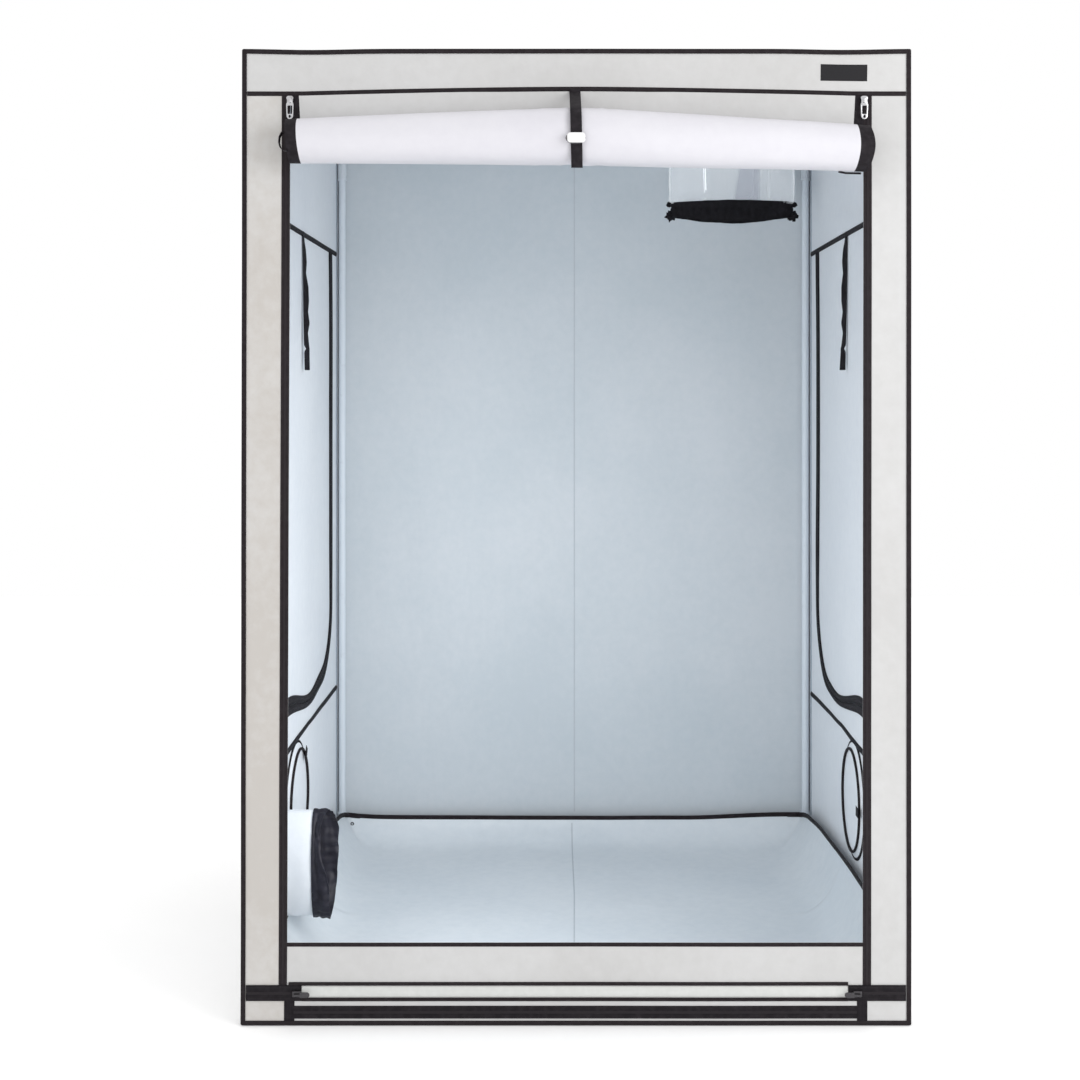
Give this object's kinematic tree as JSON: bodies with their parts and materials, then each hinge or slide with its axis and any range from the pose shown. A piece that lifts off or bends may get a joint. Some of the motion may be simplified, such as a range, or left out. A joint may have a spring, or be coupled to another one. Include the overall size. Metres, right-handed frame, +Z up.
{
  "type": "indoor grow tent",
  "caption": "Tall tube-framed cloth tent with a rolled-up front door, side windows, round vents, duct sleeves, lamp bars and a spill tray.",
  "frame": {"origin": "centre of the square footprint, on the ground", "axes": "+Z up, the doorway faces -Y, +X to the right seen from the front"},
  "size_m": [1.5, 1.6361, 2.2],
  "materials": {
    "canvas": "coated woven outer cloth, light warm grey",
    "lining": "coated reflective white lining, cool in shade",
    "white_cloth": "bright white coated cloth",
    "black_tape": "woven black binding, webbing and zip tape",
    "black_elastic": "gathered black cuff cloth",
    "clear_foil": "thin glossy film",
    "frame_paint": "white powder-coated steel tube",
    "socket_plastic": "white moulded plastic",
    "bar_steel": "zinc-plated steel",
    "zip_metal": "nickel-plated zinc",
    "insect_mesh": "fine black insect mesh in a sewn ring",
    "tray_cloth": "waterproof coated tray cloth"
  },
  "bodies": {
    "tent": {"base_sheet": "canvas", "roof_sheet": "canvas", "back_wall": "lining", "left_wall": "lining", "right_wall": "lining", "front_panel": "canvas", "edge_binding": "black_tape", "doorway_trim": "black_tape", "sill_trim": "canvas", "sill_zip": "black_tape", "base_zip_left": "black_tape", "base_zip_right": "black_tape", "door_sheet": "canvas", "window_zip_left": "black_tape", "window_zip_right": "black_tape", "vent_frame_left": "insect_mesh", "vent_frame_right": "insect_mesh", "roof_sleeve": "clear_foil", "side_sleeve": "white_cloth", "spill_tray": "tray_cloth", "post_front_left": "frame_paint", "post_front_right": "frame_paint", "post_rear_left": "frame_paint", "post_rear_right": "frame_paint", "top_rail_front": "frame_paint", "top_rail_rear": "frame_paint", "top_rail_left": "frame_paint", "top_rail_right": "frame_paint", "base_rail_front": "frame_paint", "base_rail_rear": "frame_paint", "base_rail_left": "frame_paint", "base_rail_right": "frame_paint", "corner_bottom_front_left": "socket_plastic", "corner_bottom_front_right": "socket_plastic", "corner_bottom_rear_left": "socket_plastic", "corner_bottom_rear_right": "socket_plastic", "corner_top_front_left": "socket_plastic", "corner_top_front_right": "socket_plastic", "corner_top_rear_left": "socket_plastic", "corner_top_rear_right": "socket_plastic"},
    "rolled_door": {"door_roll": "white_cloth"},
    "strap": {"door_strap": "black_tape", "strap_ring": "zip_metal"},
    "slider_left": {"door_slider_left": "zip_metal"},
    "slider_right": {"door_slider_right": "zip_metal"},
    "pull_left": {"door_pull_left": "zip_metal"},
    "pull_right": {"door_pull_right": "zip_metal"},
    "foot_slider_left": {"base_slider_left": "zip_metal"},
    "foot_slider_right": {"base_slider_right": "zip_metal"},
    "window_left": {"window_flap_left": "lining"},
    "window_right": {"window_flap_right": "lining"},
    "tie_left": {"tie_strap_left": "black_tape"},
    "tie_right": {"tie_strap_right": "black_tape"},
    "vent_left": {"vent_cover_left": "white_cloth"},
    "vent_right": {"vent_cover_right": "white_cloth"},
    "bar_front": {"lamp_bar_front": "bar_steel"},
    "bar_rear": {"lamp_bar_rear": "bar_steel"},
    "roof_mouth": {"roof_cuff": "black_elastic"},
    "side_mouth": {"side_cuff": "black_elastic"}
  },
  "joints": [
    {"name": "door_unroll", "type": "slide", "parent": "tent", "child": "rolled_door", "axis": [0, 0, -1], "range_m": [0, 1.75], "deforming": ["door_sheet"]},
    {"name": "slider_left_travel", "type": "slide", "parent": "tent", "child": "slider_left", "axis": [0, 0, -1], "range_m": [0, 1.75]},
    {"name": "slider_right_travel", "type": "slide", "parent": "tent", "child": "slider_right", "axis": [0, 0, -1], "range_m": [0, 1.75]},
    {"name": "pull_left_swing", "type": "hinge", "parent": "slider_left", "child": "pull_left", "pos_m": [-0.645, -0.7578, 2.086], "axis": [-1, 0, 0], "range_deg": [0, 170]},
    {"name": "pull_right_swing", "type": "hinge", "parent": "slider_right", "child": "pull_right", "pos_m": [0.645, -0.7578, 2.086], "axis": [-1, 0, 0], "range_deg": [0, 170]},
    {"name": "strap_swing", "type": "hinge", "parent": "tent", "child": "strap", "pos_m": [-0.004, -0.7503, 2.108], "axis": [-1, 0, 0], "range_deg": [0, 90]},
    {"name": "foot_slider_left_travel", "type": "slide", "parent": "tent", "child": "foot_slider_left", "axis": [-1, 0, 0], "range_m": [0, 0.09]},
    {"name": "foot_slider_right_travel", "type": "slide", "parent": "tent", "child": "foot_slider_right", "axis": [1, 0, 0], "range_m": [0, 0.09]},
    {"name": "window_left_lift", "type": "hinge", "parent": "tent", "child": "window_left", "pos_m": [-0.7487, 0, 1.862], "axis": [0, 1, 0], "range_deg": [0, 100]},
    {"name": "window_right_lift", "type": "hinge", "parent": "tent", "child": "window_right", "pos_m": [0.7487, 0, 1.862], "axis": [0, -1, 0], "range_deg": [0, 100]},
    {"name": "tie_left_swing", "type": "hinge", "parent": "tent", "child": "tie_left", "pos_m": [-0.7456, 0.07, 1.868], "axis": [0, -1, 0], "range_deg": [0, 80]},
    {"name": "tie_right_swing", "type": "hinge", "parent": "tent", "child": "tie_right", "pos_m": [0.7456, 0.07, 1.868], "axis": [0, 1, 0], "range_deg": [0, 80]},
    {"name": "vent_left_open", "type": "hinge", "parent": "tent", "child": "vent_left", "pos_m": [-0.7451, -0.06, 0.187], "axis": [0, 1, 0], "range_deg": [0, 75]},
    {"name": "vent_right_open", "type": "hinge", "parent": "tent", "child": "vent_right", "pos_m": [0.7444, 0.09, 0.337], "axis": [0, 0, -1], "range_deg": [0, 110]},
    {"name": "bar_front_slide", "type": "slide", "parent": "tent", "child": "bar_front", "axis": [0, 1, 0], "range_m": [-0.27, 0.2]},
    {"name": "bar_rear_slide", "type": "slide", "parent": "tent", "child": "bar_rear", "axis": [0, 1, 0], "range_m": [-0.15, 0.17]},
    {"name": "roof_mouth_swing", "type": "hinge", "parent": "tent", "child": "roof_mouth", "pos_m": [0.4708, 0.45, 2.1969], "axis": [1, 0, 0], "range_deg": [-25, 25], "deforming": ["roof_sleeve"]},
    {"name": "side_mouth_swing", "type": "hinge", "parent": "tent", "child": "side_mouth", "pos_m": [-0.7469, -0.33, 0.2465], "axis": [0, 0, 1], "range_deg": [-20, 20], "deforming": ["side_sleeve"]}
  ],
  "couplings": [
    {"joint": "slider_left_travel", "follows": "door_unroll", "ratio": 1},
    {"joint": "slider_right_travel", "follows": "door_unroll", "ratio": 1}
  ]
}
